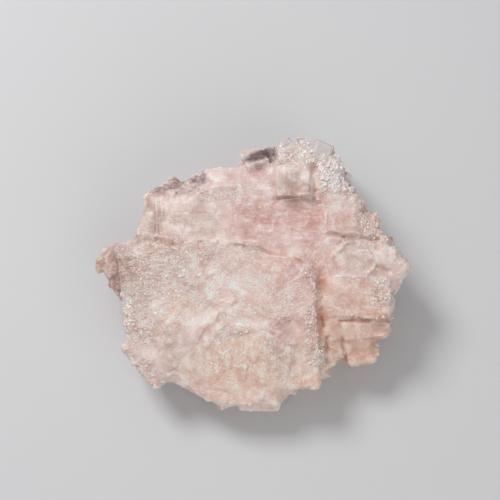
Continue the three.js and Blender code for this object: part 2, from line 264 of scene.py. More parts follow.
# Where the salt's tint changes on the growth face. colour: one of HaliteColours. at and half: [u, v].
# depth: how far the tint reaches along N. Some zones paint shade or light instead of a tint; each of these
# is marked.
ZONES = [
    Zone("cool", (4, 32), (36, 12), 0.8),
    # white sugary crust on the crown and ridge, made paler still as painted light where the ridge faces
    # away from the key light
    Zone("white", (20, 34), (11, 9), 0.95),
    Zone("grey", (-26, -12), (20, 22), 0.6),
    Zone("white", (-6, -4), (9, 5.5), 0.75),
    Zone("white", (-25, -8), (6, 6), 0.6),
    Zone("white", (-16.4, -12), (4.6, 3.6), 0.6),
    Zone("white", (0.3, -15.5), (7, 2.4), 0.85),
    # partly white crust, partly a painted rim highlight along the left edge of the front face
    Zone("white", (-38.6, -6), (1.8, 12), 0.8),
    Zone("grey", (-18, 17), (10, 7), 0.9),
    Zone("shade", (-18, 17), (8, 5), 0.3),
    Zone("grey", (-33, 17), (5, 7), 0.7),
    Zone("shade", (-33, 17), (5, 7), 0.6),
    Zone("grey", (30, 5), (6, 6), 0.7),
    Zone("grey", (12, 28), (5, 6), 0.9),
    Zone("shade", (11, 27), (4, 5), 0.5),
    Zone("white", (16.4, 31), (1.8, 5), 0.7),
    Zone("shade", (-43, 3), (7, 8), 1.0),
    Zone("brown_and_shadow", (-43, 2), (6, 7), 0.75),
    Zone("shade", (-23, -21), (5, 6), 0.35),
    Zone("rose", (8, 15), (16, 8), 0.8),
    Zone("rose", (-2, 29), (9, 6), 0.35),
    Zone("rose", (18, 1), (8, 5), 0.9),
    Zone("rose", (10, -15), (5, 4), 1.0),
    Zone("brown_and_shadow", (10, -15), (4, 3), 0.85),
    # painted shadow: the dark recess under the crown's lower edge
    Zone("brown_and_shadow", (16, 24.4), (7, 1.8), 0.7),
    Zone("brown_and_shadow", (12.4, 21.8), (3, 1.6), 0.5),
    # painted shadow: the darker area below the right square
    Zone("brown_and_shadow", (37.6, 2.4), (5, 2.6), 0.6),
    # painted shadow: the notch under the upper left face
    Zone("brown_and_shadow", (-27.5, 9.6), (4.5, 2.2), 0.5),
    Zone("brown_and_shadow", (26.5, 11.6), (4, 2.4), 0.35),
    Zone("white", (41, 2), (5, 8), 0.6),
    Zone("tan", (28, -6), (8, 5), 0.35),
    Zone("tan", (31, -19), (14, 9), 0.95),
    # painted shade: the ledge just under the right block's lower edge, darkened as if shaded from above
    Zone("shade", (31, -17), (10, 4), 0.3),
    Zone("tan", (20.5, -8), (2, 13), 0.6),
    Zone("amber", (6, -33), (24, 10), 0.5),
    Zone("amber", (-4, -24), (12, 6), 0.5),
    Zone("white", (2, -38), (9, 5), 0.5, 8),
    Zone("amber", (-23, -10), (4, 7), 0.35),
    Zone("shade", (8, -24), (5, 7), 0.5),
    Zone("white", (19.2, -24.2), (2.2, 3), 0.55),
    Zone("white", (11.8, 7), (2.2, 1.6), 0.8),
    Zone("violet", (-23, 26.8), (9, 3), 0.9, 4.5),
    Zone("violet", (-17, 30), (3.4, 3.2), 1.0, 4.5),
    Zone("plum", (1.6, 36.2), (6, 3.4), 1.0, 4.5),
    Zone("violet", (28.8, 28.6), (2, 3), 0.8, 4.5),
]


class HaliteSurface(bpy.types.PropertyGroup):
    """How finely the cluster's surface is made."""

    voxel: bpy.props.FloatProperty(
        name="Voxel", description="Size of the cells that join the crystals", default=0.40 * MM,
        unit="LENGTH",
    )
    melting: bpy.props.IntProperty(
        name="Melting", description="Rounds of smoothing that soften the large cubes", default=13,
    )
    relief: bpy.props.FloatProperty(
        name="Relief", description="Height of the growth steps, as a share of each kind's own",
        default=1.0,
    )
    swell: bpy.props.FloatProperty(
        name="Swell", description="Height of the soft unevenness of the cube faces", default=0.09,
    )
    triangles: bpy.props.IntProperty(
        name="Triangles", description="Most triangles in the cluster's surface", default=192_000,
    )
    flank_cubes: bpy.props.IntProperty(
        name="Flank cubes", description="Number of cubes grown on the sides and back", default=760,
    )
    seed: bpy.props.IntProperty(
        name="Seed", description="Start of the random draws", default=7,
    )


class HaliteCrystals(bpy.types.PropertyGroup):
    """Sizes of the separate small crystals."""

    sugar_count: bpy.props.IntProperty(
        name="Sugar crystals", description="Number on the growth face", default=2600,
    )
    flank_count: bpy.props.IntProperty(
        name="Flank crystals", description="Number on the sides and back", default=3000,
    )
    smallest: bpy.props.FloatProperty(
        name="Smallest", description="Width of the smallest sugary crystal", default=0.2 * MM,
        unit="LENGTH",
    )
    largest: bpy.props.FloatProperty(
        name="Largest", description="Width of the largest sugary crystal", default=0.66 * MM,
        unit="LENGTH",
    )
    wear: bpy.props.FloatProperty(
        name="Wear", description="Bevel of a crystal's edges, as a percentage of their length",
        default=13, subtype="PERCENTAGE",
    )


def tint(name, description, default):
    return bpy.props.FloatVectorProperty(
        name=name, description=description, default=default, subtype="COLOR", size=3, min=0, max=1,
    )


class HaliteColours(bpy.types.PropertyGroup):
    """Tints of the salt, one of which also paints shadows."""

    pink: tint("Pink", "Most of the salt", (0.84, 0.635, 0.575))
    white: tint("White", "Sugary and freshly broken salt", (0.95, 0.80, 0.75))
    grey: tint("Grey", "Smooth worn faces", (0.76, 0.625, 0.575))
    rose: tint("Rose", "The inner terraces", (0.77, 0.515, 0.485))
    tan: tint("Tan", "Iron-stained blocks", (0.76, 0.49, 0.385))
    amber: tint("Amber", "The warm underside", (0.86, 0.63, 0.51))
    cool: tint("Cool", "The upper rim, away from the stained parts", (0.80, 0.64, 0.62))
    shade: tint("Shade", "Greyer, clearer salt", (0.58, 0.43, 0.39))
    # Brown is a stain in some zones and a painted shadow in others: under the crown, in the notch and
    # below the right square.
    brown_and_shadow: tint("Brown", "Stained hollows", (0.62, 0.42, 0.37))
    violet: tint("Violet", "Dark small crystals on the upper rim", (0.40, 0.285, 0.285))
    plum: tint("Plum", "The darkest small crystals", (0.15, 0.10, 0.105))
    clear: tint("Clear", "Clear crystals", (0.99, 0.94, 0.93))


class HaliteStage(bpy.types.PropertyGroup):
    """The floor, the lights and the camera."""

    floor: tint("Floor", "Colour of the floor", (0.60, 0.61, 0.63))
    elevation: bpy.props.FloatProperty(
        name="Elevation", description="Height of the camera above the horizon",
        default=math.radians(70), subtype="ANGLE",
    )
    lens: bpy.props.FloatProperty(name="Lens", description="Focal length in millimetres", default=85)
    distance: bpy.props.FloatProperty(
        name="Distance", description="From the camera to the growth face", default=0.3595,
        unit="LENGTH",
    )


# ---------------------------------------------------------------------------- growth frame and noise


def growth_frame():
    low, high = (Vector(corner) for corner in cad_box)
    foot = Vector(((low.x + high.x) / 2, (low.y + high.y) / 2, low.z))
    return Matrix.Translation(foot + GROWTH_OFFSET) @ Matrix.Rotation(GROWTH_LEAN, 4, "X")


GROWTH = growth_frame()
GROWTH_NORMAL = GROWTH.col[2].to_3d()


def growth_places(points):
    """Points of the part, in metres, as millimetres in the growth frame."""
    turn = np.array(GROWTH.to_3x3())
    return (points - np.array(GROWTH.translation)) @ turn / MM


def soft_noise(places, size, rng):
    """Smooth noise from -1 to 1 whose lumps are size across."""
    table = rng.uniform(-1, 1, (TABLE_SIZE,) * 3)
    scaled = places / size
    cell = np.floor(scaled).astype(int)
    blend = scaled - cell
    blend = blend * blend * (3 - 2 * blend)
    total = np.zeros(len(places))
    for corner in itertools.product((0, 1), repeat=3):
        weight = np.where(corner, blend, 1 - blend).prod(axis=1)
        total += weight * table[tuple(((cell + corner) % TABLE_SIZE).T)]
    return total


def crystal_noise(places, size, tilt, rng):
    """Noise of irregular square crystals about size across, each with a level and a slight tilt."""
    middles = rng.random((TABLE_SIZE,) * 3 + (3,))
    levels = rng.uniform(-1, 1, (TABLE_SIZE,) * 3)
    slopes = rng.uniform(-tilt, tilt, (TABLE_SIZE,) * 3 + (3,))
    scaled = places / size
    home = np.floor(scaled).astype(int)
    nearest = np.full(len(places), np.inf)
    height = np.zeros(len(places))
    for step in itertools.product((-1, 0, 1), repeat=3):
        cell = home + step
        index = tuple((cell % TABLE_SIZE).T)
        offset = scaled - cell - middles[index]
        reach = np.abs(offset).max(axis=1)
        closer = reach < nearest
        nearest = np.where(closer, reach, nearest)
        height = np.where(closer, levels[index] + (slopes[index] * offset).sum(axis=1), height)
    return height


def patch_frame(places, patch):
    """Places turned into a patch's own axes, from its middle."""
    turn = math.radians(patch.turn)
    axes = np.array([[math.cos(turn), -math.sin(turn)], [math.sin(turn), math.cos(turn)]])
    turned = places.copy()
    turned[:, :2] = (places[:, :2] - patch.at) @ axes
    return turned


def patch_share(own, patch):
    """1 inside a patch, fading to 0 past its edge, for places in the patch's own axes."""
    reach = np.abs(own[:, :2] / patch.half).max(axis=1)
    inside = np.clip((PATCH_END - reach) / PATCH_FADE, 0, 1)
    return inside * np.clip((own[:, 2] - PATCH_FLOOR) / FLOOR_FADE, 0, 1)


# ---------------------------------------------------------------------------- meshes


def read_all(items, key, width=1, kind=np.float64):
    """One value, or a row of width values, from each of a mesh's items."""
    values = np.empty(len(items) * width, dtype=kind)
    items.foreach_get(key, values)
    return values.reshape(-1, width) if width > 1 else values


def vertex_places(mesh):
    return read_all(mesh.vertices, "co", 3)


def vertex_normals(mesh):
    return read_all(mesh.vertex_normals, "vector", 3)


def edge_ends(mesh):
    return read_all(mesh.edges, "vertices", 2, np.int32)


def attribute_values(mesh, name):
    return read_all(mesh.attributes[name].data, "value", kind=np.float32)


def write_attribute(mesh, name, values, domain="POINT"):
    attribute = mesh.attributes.new(name, "FLOAT", domain)
    attribute.data.foreach_set("value", np.ascontiguousarray(values, dtype=np.float32))


def keep_in_box(mesh):
    """Moves vertices that are past the part's box back onto it."""
    low, high = (np.array(corner) for corner in cad_box)
    mesh.vertices.foreach_set("co", np.clip(vertex_places(mesh), low, high).ravel())


def add_object(name, mesh):
    thing = bpy.data.objects.new(name, mesh)
    bpy.context.scene.collection.objects.link(thing)
    return thing


def settle_modifiers(thing):
    """Puts the result of a thing's modifiers into its mesh."""
    graph = bpy.context.evaluated_depsgraph_get()
    rough = thing.data
    thing.data = bpy.data.meshes.new_from_object(thing.evaluated_get(graph))
    thing.modifiers.clear()
    bpy.data.meshes.remove(rough)


def keep_largest_skin(bm):
    """Deletes every loose piece but the largest one."""
    todo = set(bm.verts)
    skins = []
    while todo:
        first = todo.pop()
        skin = [first]
        for vert in skin:
            for edge in vert.link_edges:
                other = edge.other_vert(vert)
                if other in todo:
                    todo.discard(other)
                    skin.append(other)
        skins.append(skin)
    skins.sort(key=len)
    loose = [vert for skin in skins[:-1] for vert in skin]
    bmesh.ops.delete(bm, geom=loose, context="VERTS")


def neighbour_mean(places, edges, rounds, share=1):
    """Each place moved by a share of the way to its neighbours' mean, several times over."""
    count = len(places)
    first, second = edges.T
    links = np.bincount(edges.ravel(), minlength=count)[:, None]
    for _ in range(rounds):
        total = np.empty_like(places)
        for axis in range(3):
            total[:, axis] = np.bincount(first, places[second, axis], count)
            total[:, axis] += np.bincount(second, places[first, axis], count)
        places = places + share * (total / links - places)
    return places


def proudness(mesh, rounds):
    """How far each vertex stands out of the surface around it, in millimetres."""
    places = vertex_places(mesh)
    around = neighbour_mean(places, edge_ends(mesh), rounds)
    return ((places - around) * vertex_normals(mesh)).sum(axis=1) / MM


# ---------------------------------------------------------------------------- small cubes

RIB_OVERLAP = 1.3  # length of a rib's block, as a share of its step
RIB_WIDTHS = (0.6, 1.2)  # spread of a block's width, as a share of its rib's
RIB_RISES = (0.4, 1.1)  # spread of its rise
RIB_DEPTH = 2  # how deep a block goes, as a share of its width
RIB_TILT = 6  # most degrees that a block is turned each way
PATCH_CUBE_HEIGHTS = (0.8, 1.2)  # spread of a cube's height, as a share of its width
PATCH_CUBE_DEPTH = 1.5  # how deep it goes, as a share of its length
FLANK_UNDERSIDE = -0.6  # faces that point down more than this grow no flank cubes
FLANK_FACING = 0.6  # and those that point along the growth face's normal more than this
FLANK_SMALLEST = 1.2  # width in millimetres
FLANK_WIDTHS = (6, 1.4)  # most added to it, below and above RIM_DEPTH
FLANK_FINENESS = 3  # how many more small ones there are than large ones
FLANK_HEIGHTS = (0.6, 1.5)  # spread of a flank cube's height, as a share of its width
FLANK_RISES = (0.04, 0.26)  # how far it stands out, as a share of its width
FLANK_DEPTH = 2  # how deep it goes, as a share of its width
CUBE_TILT = 14  # most degrees that a flank cube or a sugary crystal is turned each way


def cube_matrix(place, turn, size):
    return Matrix.LocRotScale(place, turn.to_quaternion(), Vector(size))


def jitter(rng, degrees):
    """A small random turn about all three axes."""
    angles = np.radians(rng.uniform(-degrees, degrees, 3))
    return Euler(angles).to_matrix()


def surface_place(tree, spot):
    """The place on the growth face under [u, v], or None where that is past the rim."""
    above = GROWTH @ (Vector((*spot, FRONT_REACH)) * MM)
    hit = tree.ray_cast(above, -GROWTH_NORMAL)[0]
    if hit is None or (GROWTH.inverted() @ hit).z < PATCH_FLOOR * MM:
        return None
    return hit


def rib_cubes(tree, rng):
    """Matrices of the short blocks along each rib."""
    lattice = GROWTH.to_3x3()
    for rib in RIBS:
        start, end = Vector(rib.start), Vector(rib.end)
        along = end - start
        spin = Matrix.Rotation(math.atan2(along.y, along.x), 3, "Z")
        steps = math.ceil(along.length / RIB_STEP)
        for step in range(steps):
            hit = surface_place(tree, start + along * ((step + rng.random()) / steps))
            width = rib.width * rng.uniform(*RIB_WIDTHS) * MM
            rise = (rib.rise + RIB_LIFT) * rng.uniform(*RIB_RISES) * MM
            turn = lattice @ spin @ jitter(rng, RIB_TILT)
            if hit is None:
                continue
            depth = RIB_DEPTH * width
            size = (RIB_OVERLAP * RIB_STEP * MM, width, depth)
            yield cube_matrix(hit + GROWTH_NORMAL * (rise - depth / 2), turn, size)


def patch_cubes(tree, rng):
    """Matrices of the cubes that stand out of the growth face's patches."""
    lattice = GROWTH.to_3x3()
    for patch in PATCHES.values():
        kind = KINDS[patch.kind]
        spin = Matrix.Rotation(math.radians(patch.turn), 3, "Z")
        area = 4 * patch.half[0] * patch.half[1]
        for _ in range(max(1, round(kind.density * area))):
            offset = Vector((*(rng.uniform(-1, 1, 2) * patch.half), 0))
            hit = surface_place(tree, (spin @ offset).xy + Vector(patch.at))
            width = rng.uniform(*kind.width) * MM
            length = width * rng.uniform(1, kind.stretch)
            height = width * rng.uniform(*PATCH_CUBE_HEIGHTS)
            rise = width * rng.uniform(*kind.rise)
            turn = lattice @ spin @ jitter(rng, kind.tilt)
            if hit is None:
                continue
            depth = PATCH_CUBE_DEPTH * length + rise
            yield cube_matrix(hit + GROWTH_NORMAL * (rise - depth / 2), turn, (length, height, depth))


def flank_cubes(bm, count, rng):
    """Matrices of the cubes that stand out of the sides and the back."""
    faces = [
        face for face in bm.faces
        if FLANK_UNDERSIDE < face.normal.z and face.normal.dot(GROWTH_NORMAL) < FLANK_FACING
    ]
    areas = np.array([face.calc_area() for face in faces])
    for index in rng.choice(len(faces), count, p=areas / areas.sum()):
        face = faces[index]
        shares = rng.dirichlet((1, 1, 1))
        spot = sum((vert.co * share for vert, share in zip(face.verts, shares)), Vector())
        level = (GROWTH.inverted() @ spot).z / MM
        added = FLANK_WIDTHS[0] if level < RIM_DEPTH else FLANK_WIDTHS[1]
        width = (FLANK_SMALLEST + added * rng.random() ** FLANK_FINENESS) * MM
        height = width * rng.uniform(*FLANK_HEIGHTS)
        rise = width * rng.uniform(*FLANK_RISES)
        outward = face.normal.to_track_quat("Z", "Y").to_matrix()
        turn = outward @ jitter(rng, CUBE_TILT)
        depth = FLANK_DEPTH * width
        place = cube_matrix(spot + face.normal * (rise - depth / 2), turn, (width, height, depth))
        if fits_box(place):
            yield place


def fits_box(place):
    """Whether a unit cube at a matrix stays in the part's box."""
    corners = [place @ (Vector(signs) / 2) for signs in itertools.product((-1, 1), repeat=3)]
    low, high = cad_box
    return all(low[axis] <= corner[axis] <= high[axis] for corner in corners for axis in range(3))


def cube_mesh(name, places, wear=0):
    """One mesh of cubes, one at each matrix, with their edges bevelled by wear."""
    places = list(places)
    mesh = bpy.data.meshes.new(name)
    whole = bmesh.new()
    for start in range(0, len(places), BATCH):
        batch = bmesh.new()
        for place in places[start : start + BATCH]:
            bmesh.ops.create_cube(batch, size=1, matrix=place)
        if wear:
            bmesh.ops.bevel(
                batch, geom=batch.edges[:], offset=wear, offset_type="PERCENT", affect="EDGES",
                segments=1, profile=0.5, material=-1, clamp_overlap=True,
            )
        batch.to_mesh(mesh)
        batch.free()
        whole.from_mesh(mesh)
    whole.to_mesh(mesh)
    whole.free()
    return mesh


# ---------------------------------------------------------------------------- the cluster's surface

WELD = 1e-6  # metres within which vertices of the part are one
FIRST_SKIN = 1.25  # size of the first skin's cells, as a share of the last one's
LAST_WEAR = 3  # rounds of smoothing of the last skin
WEAR_STEP = 0.5  # how far one round moves each vertex towards its neighbours


def close_skin(body, voxel, rounds):
    """Joins all that a mesh holds into one skin, and wears its edges round."""
    remesh = body.modifiers.new("Join", "REMESH")
    remesh.mode = "VOXEL"
    remesh.voxel_size = voxel
    worn = body.modifiers.new("Wear", "SMOOTH")
    worn.factor = WEAR_STEP
    worn.iterations = rounds
    settle_modifiers(body)


def melt_faces(mesh):
    """Smooths the broad faces where their steps have dissolved."""
    points = vertex_places(mesh)
    places = growth_places(points)
    share = np.zeros(len(points))
    for patch in MELTED:
        share = np.maximum(share, patch_share(patch_frame(places, patch), patch))
    share *= places[:, 2] > 0
    points = neighbour_mean(points, edge_ends(mesh), MELTING_ROUNDS, share[:, None])
    mesh.vertices.foreach_set("co", points.ravel())


def crease_relief(places):
    """How deep the grooves are at each place of the growth face, in millimetres."""
    depth = np.zeros(len(places))
    for crease in CREASES:
        start, end = np.array(crease.start), np.array(crease.end)
        along = end - start
        share = np.clip((places[:, :2] - start) @ along / (along @ along), 0, 1)
        gap = np.linalg.norm(places[:, :2] - start - share[:, None] * along, axis=1)
        depth = np.maximum(depth, crease.depth * np.exp(-((gap / crease.width) ** 2)))
    return CREASE_DEPTH * depth * (places[:, 2] > 0)


def joined_cubes(surface, rng):
    """The cluster with its small cubes grown on, joined into one skin."""
    bm = bmesh.new()
    bm.from_mesh(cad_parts[NODE].data)
    bmesh.ops.remove_doubles(bm, verts=bm.verts, dist=WELD)
    mesh = bpy.data.meshes.new("halite_body")
    bm.to_mesh(mesh)
    bm.free()
    body = add_object("halite_body", mesh)
    close_skin(body, FIRST_SKIN * surface.voxel, surface.melting)
    melt_faces(body.data)
    bm = bmesh.new()
    bm.from_mesh(body.data)
    bmesh.ops.triangulate(bm, faces=bm.faces)
    tree = BVHTree.FromBMesh(bm)
    patches, ribs, flanks = rng.spawn(3)
    places = [
        *patch_cubes(tree, patches), *rib_cubes(tree, ribs), *flank_cubes(bm, surface.flank_cubes, flanks),
    ]
    cubes = cube_mesh("small cubes", places)
    bm.from_mesh(cubes)
    bpy.data.meshes.remove(cubes)
    bm.to_mesh(body.data)
    bm.free()
    close_skin(body, surface.voxel, LAST_WEAR)
    bm = bmesh.new()
    bm.from_mesh(body.data)
    keep_largest_skin(bm)
    bm.to_mesh(body.data)
    bm.free()
    return body


STEP_TILT = 2  # how far growth steps lean
PATCH_WARP = (4, 0.5)  # size and reach in millimetres of the bends in the patches' edges
CREASE_WARP = (3, 0.45)  # and of those in the grooves
FINE_STEPS = (0.47, 0.6)  # size and height of the finer steps, as shares of a patch's own
FLANK_FINE_STEPS = (0.5, 0.5)
FIBRE_CELL = np.array((6, 0.8, 0.8))  # size of one fibre
FACE_LUMPS = 5  # size in millimetres of the soft unevenness of the cube faces
FINE_LUMPS = 2  # size of the finer unevenness on it
FINE_SWELL = 0.5  # height of that, as a share of the other
FLANK_LUMPS = 9  # size of the broad unevenness of the flanks
SUGAR_LUMPS = 7  # size of the stretches of the flanks where sugar gathers
LEAST_SHARE = 0.02  # share of a patch that counts in choosing whose lines run there
FLANK_SUGAR = 0.3
FLANK_FIBRE = 0.6


def bent(places, warp, rng):
    """Places pushed about softly, so that straight lines through them run unevenly."""
    size, reach = warp
    return places + np.stack([soft_noise(places, size, rng) for _ in range(3)], axis=1) * reach


def growth_steps(places, size, finer, rng):
    """Noise of growth steps about size across, with finer ones on them."""
    share, height = finer
    steps = crystal_noise(places, size, STEP_TILT, rng)
    return steps + height * crystal_noise(places, share * size, STEP_TILT, rng)


def growth_relief(places, surface, rng):
    """Height of the growth steps over the surface in millimetres, and what its material is to read."""
    count = len(places)
    warped = bent(places, PATCH_WARP, rng)
    rest = np.ones(count)
    best = np.full(count, LEAST_SHARE)
    relief = np.zeros(count)
    marks = {"sugar": np.zeros(count), "fibre": np.zeros(count), "turn": np.zeros(count)}
    marks["tone"] = crystal_noise(warped, FACET, 0, rng)
    for patch in PATCHES.values():
        kind = KINDS[patch.kind]
        share = np.minimum(patch_share(patch_frame(warped, patch), patch), rest)
        inside = np.flatnonzero(share)
        own = patch_frame(warped[inside], patch)
        part = share[inside]
        size = np.array((*kind.cell, min(kind.cell)))
        steps = growth_steps(own, size, FINE_STEPS, rng)
        fibre = soft_noise(patch_frame(places[inside], patch), FIBRE_CELL, rng)
        relief[inside] += part * (kind.relief * steps / 2 + kind.fibre * FIBRE_RELIEF * fibre)
        facet = crystal_noise(own, FACET, 0, rng)
        turn = -np.radians(patch.turn + kind.fan * facet)
        chosen = part > best[inside]
        best[inside] = np.maximum(part, best[inside])
        marks["turn"][inside] = np.where(chosen, turn, marks["turn"][inside])
        marks["tone"][inside] = np.where(chosen, facet, marks["tone"][inside])
        marks["sugar"] += share * kind.sugar
        marks["fibre"] += share * kind.fibre
        rest -= share
    steps = growth_steps(warped, FLANK_CELL, FLANK_FINE_STEPS, rng)
    flank = rest * np.clip(-places[:, 2] / FLANK_FADE, 0, 1)
    relief += rest * FLANK_RELIEF * steps + flank * FLANK_SWELL * soft_noise(places, FLANK_LUMPS, rng)
    marks["sugar"] += rest * FLANK_SUGAR * np.clip(0.5 + soft_noise(places, SUGAR_LUMPS, rng), 0, 1)
    marks["fibre"] += rest * FLANK_FIBRE
    broad = surface.swell * soft_noise(places, FACE_LUMPS, rng)
    relief += broad + FINE_SWELL * surface.swell * soft_noise(places, FINE_LUMPS, rng)
    relief -= crease_relief(bent(places, CREASE_WARP, rng))
    return relief * surface.relief, marks


def hold_turns(mesh):
    """Gives each face one turn for its lines, so that they don't bend where two facets meet."""
    turns = attribute_values(mesh, "turn")
    mesh.attributes.remove(mesh.attributes["turn"])
    corners = read_all(mesh.loops, "vertex_index", kind=np.int32)
    starts = read_all(mesh.polygons, "loop_start", kind=np.int32)
    write_attribute(mesh, "turn", turns[corners[starts]], "FACE")


SHARP_EDGE = math.radians(34)
EDGE_READING = (6, 0.35)  # rounds of smoothing against which edges are read, and the height of a full one; the material pales edges, partly as whiter worn salt and partly as a painted rim highlight
HOLLOW_SHADE_READING = (90, 1.6)  # and the same for hollows, which the material deepens as painted shade
GROUND_FADE = 0.8  # height in millimetres above the resting face over which relief starts
FLAT_SHARE = 0.4  # share of that height up to which the cut stays flat


def finished_mesh(body, limit):
    """Thins the surface where it is flat, and marks what shows in its material."""
    thin = body.modifiers.new("Thin", "DECIMATE")
    thin.ratio = min(1, limit / (2 * len(body.data.polygons)))
    settle_modifiers(body)
    keep_in_box(body.data)
    hold_turns(body.data)
    body.data.shade_smooth()
    body.data.set_sharp_from_angle(angle=SHARP_EDGE)
    # The edge reading is paled in the material, partly as worn salt and partly as a painted rim highlight;
    # the hollow reading is deepened as painted shade.
    for name, (rounds, full), way in (("edge", EDGE_READING, 1), ("hollow_shade", HOLLOW_SHADE_READING, -1)):
        write_attribute(body.data, name, np.clip(way * proudness(body.data, rounds) / full, -1, 1))


class HALITE_OT_body(bpy.types.Operator):
    """Grow the terraces and small cubes of the cluster's own surface"""

    bl_idname = "halite.body"
    bl_label = "Cluster surface"

    def execute(self, context):
        surface = context.scene.halite_surface
        rng = np.random.default_rng(surface.seed)
        body = joined_cubes(surface, rng)
        mesh = body.data
        points = vertex_places(mesh)
        relief, marks = growth_relief(growth_places(points), surface, rng)
        ground = cad_box[0][2]
        above = np.clip((points[:, 2] - ground) / (GROUND_FADE * MM), 0, 1)
        points += vertex_normals(mesh) * (relief * above * MM)[:, None]
        points[:, 2] = np.where(above < FLAT_SHARE, ground, points[:, 2])
        mesh.vertices.foreach_set("co", points.ravel())
        for name, values in marks.items():
            write_attribute(mesh, name, values)
        finished_mesh(body, surface.triangles)
        body.data.materials.clear()
        body.data.materials.append(body_material(context.scene.halite_colours))
        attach(body, BODY)
        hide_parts(NODE)
        return {"FINISHED"}


# ---------------------------------------------------------------------------- separate crystals

SUGAR_FACING = 0.1  # faces that point along the growth face's normal more than this are its own
SUGAR_UNDERSIDE = -0.5  # faces that point down more than this carry no crystals
SUGAR_GATHERING = 1.8  # how strongly the crystals gather where the salt is sugary
SUGAR_STRAYS = 0.002  # share of them that lie anywhere
SUGAR_FINENESS = 2.2  # how many more small ones there are than large ones
SUGAR_SIDES = (0.75, 1.25)  # spread of a crystal's sides, as a share of its width
SUGAR_DEPTHS = (-0.4, -0.05)  # how far its middle is sunk, as a share of its width
LEAST_AREA = 1e-12  # stands in for the area of a triangle that has none


def nearest_turn(spot):
    """The turn of the patch that a place on the growth face belongs to."""
    def reach(patch):
        return max(abs(spot.x - patch.at[0]) / patch.half[0], abs(spot.y - patch.at[1]) / patch.half[1])
    return min(PATCHES.values(), key=reach).turn


def scattered_crystals(body, count, front, crystals, rng):
    """Matrices of sugary crystals on the growth face, or on the flanks."""
    mesh = body.data
    mesh.calc_loop_triangles()
    corners = read_all(mesh.loop_triangles, "vertices", 3, np.int32)
    points = vertex_places(mesh)[corners]
    cross = np.cross(points[:, 1] - points[:, 0], points[:, 2] - points[:, 0])
    area = np.linalg.norm(cross, axis=1)
    normals = cross / np.maximum(area, LEAST_AREA)[:, None]
    facing = normals @ np.array(GROWTH_NORMAL)
    share = attribute_values(mesh, "sugar")[corners].mean(axis=1)
    middles = points.mean(axis=1)
    height = growth_places(middles)[:, 2]
    onward = (height > PATCH_FLOOR) & (facing > SUGAR_FACING)
    chosen = onward if front else ~onward & (normals[:, 2] > SUGAR_UNDERSIDE)
    weight = area * chosen * (share ** SUGAR_GATHERING + SUGAR_STRAYS)
    for index in rng.choice(len(area), count, p=weight / weight.sum()):
        spot = Vector(middles[index])
        width = crystals.smallest + (crystals.largest - crystals.smallest) * rng.random() ** SUGAR_FINENESS
        size = Vector(width * rng.uniform(*SUGAR_SIDES, 3))
        if front:
            spin = Matrix.Rotation(math.radians(nearest_turn(GROWTH.inverted() @ spot / MM)), 3, "Z")
            lattice = GROWTH.to_3x3() @ spin
        else:
            lattice = Vector(normals[index]).to_track_quat("Z", "Y").to_matrix()
        turn = lattice @ jitter(rng, CUBE_TILT)
        sunk = Vector(normals[index]) * width * rng.uniform(*SUGAR_DEPTHS)
        place = cube_matrix(spot + sunk, turn, size)
        if fits_box(place):
            yield place


class HALITE_OT_sugar(bpy.types.Operator):
    """Scatter the sugary crystals over the growth face and the flanks"""

    bl_idname = "halite.sugar"
    bl_label = "Sugary crystals"

    def execute(self, context):
        crystals = context.scene.halite_crystals
        body = bpy.data.objects["halite_body"]
        rng = np.random.default_rng(context.scene.halite_surface.seed + 1)
        material = sugar_material(context.scene.halite_colours)
        for name, count, front in (
            ("sugar_growth_face", crystals.sugar_count, True),
            ("sugar_flanks", crystals.flank_count, False),
        ):
            places = scattered_crystals(body, count, front, crystals, rng)
            piece = add_object(name, cube_mesh(name, places, crystals.wear))
            piece.data.materials.append(material)
            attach(piece, BODY)
        return {"FINISHED"}


CLEAR_WEAR = 11  # bevel of a clear crystal's edges, as a percentage of their length

# Clear crystals on the rims. at: the middle as [u, v, n]. size: in millimetres. turn: degrees.
CLEAR_CRYSTALS = [
    ((9.4, 38.0, 3.8), (5.6, 4.8, 7), (-12, 4, 40)),
    ((12.2, 38.4, 3.6), (4.4, 3.8, 6), (-8, -10, 16)),
    ((17.4, 38.5, 3.8), (4.6, 4.4, 7), (-9, 3, 12)),
    ((20.2, 36.7, 4.8), (5.8, 6.6, 7), (-8, 8, -24)),
    ((22.4, 34.6, 4.6), (3.4, 4.0, 6), (6, 12, -14)),
    ((27.8, 29.6, 1.4), (2.4, 3.2, 4), (4, 20, -30)),
    ((28.4, 27.2, 1.0), (2.0, 2.2, 3), (-14, 10, 12)),
    ((41.2, -6.8, 0.8), (1.8, 2.4, 3), (10, 14, 8)),
    ((37.6, 11.2, 1.4), (2.2, 2.4, 3), (8, 16, -30)),
    ((43.4, 6.2, 0.8), (2.2, 2.4, 3), (-10, 16, -42)),
]


class HALITE_OT_clear(bpy.types.Operator):
    """Place the clear crystals on the upper and right rims"""

    bl_idname = "halite.clear"
    bl_label = "Clear crystals"

    def execute(self, context):
        places = []
        for at, size, turn in CLEAR_CRYSTALS:
            depth = Vector((0, 0, size[2] / 2))
            angles = Euler([math.radians(angle) for angle in turn], "ZYX").to_matrix()
            middle = GROWTH @ ((Vector(at) - depth) * MM)
            places.append(cube_matrix(middle, GROWTH.to_3x3() @ angles, Vector(size) * MM))
        piece = add_object("clear_crystals", cube_mesh("clear_crystals", places, CLEAR_WEAR))
        keep_in_box(piece.data)
        piece.data.materials.append(clear_material(context.scene.halite_colours))
        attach(piece, BODY)
        return {"FINISHED"}


# ---------------------------------------------------------------------------- materials

